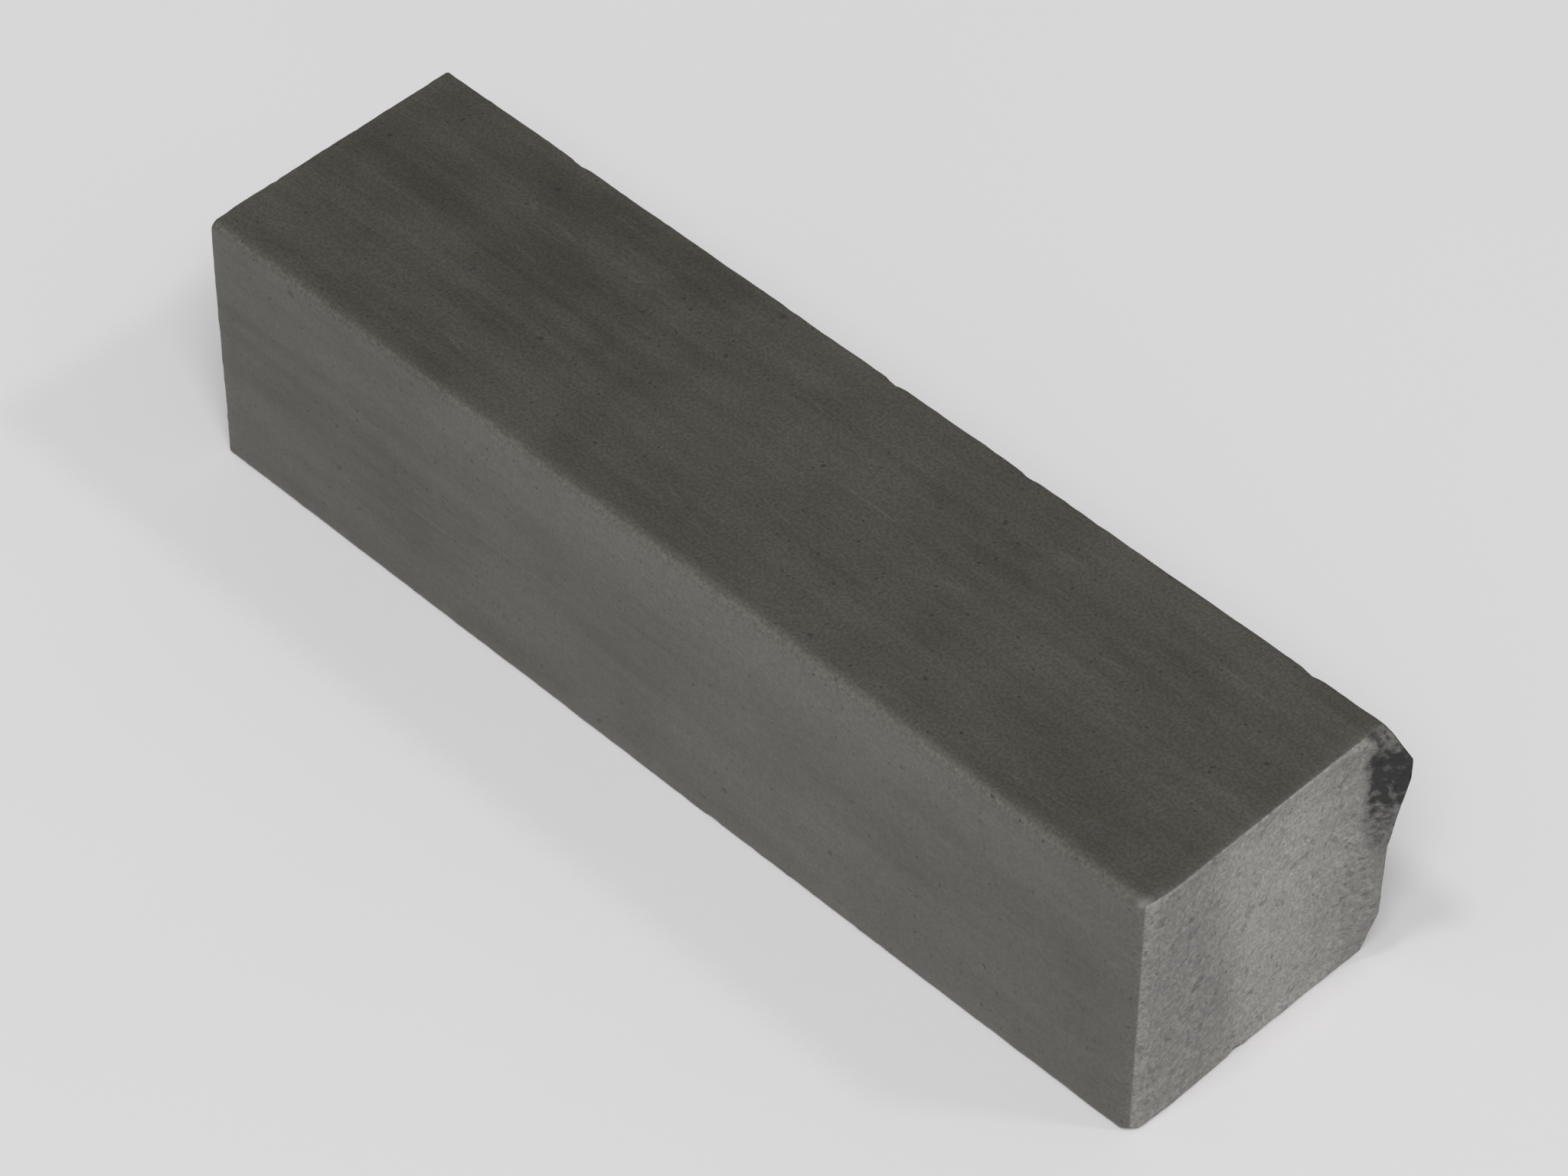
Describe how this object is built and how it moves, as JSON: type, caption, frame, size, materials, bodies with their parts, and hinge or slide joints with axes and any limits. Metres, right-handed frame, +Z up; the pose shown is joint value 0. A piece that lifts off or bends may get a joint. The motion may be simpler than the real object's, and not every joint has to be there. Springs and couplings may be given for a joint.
{
  "type": "compressed charcoal stick",
  "caption": "Square bar of compressed drawing charcoal, pressed flat at one end and snapped at the other, where a small break lip stands out along one upright edge.",
  "frame": {"origin": "on the resting face, under the middle of the overall length and in the middle of the width", "axes": "+X along the stick towards the snapped end, +Y across it towards the side with the break lip, +Z up from the resting face"},
  "size_m": [0.0766, 0.019, 0.0191],
  "materials": {
    "pressed_charcoal": "fine-grained carbon black with a dull graphite-like sheen where it was pressed and rubbed, matt and grainy where it was snapped"
  },
  "bodies": {
    "root": {"charcoal_stick": "pressed_charcoal"}
  },
  "joints": []
}
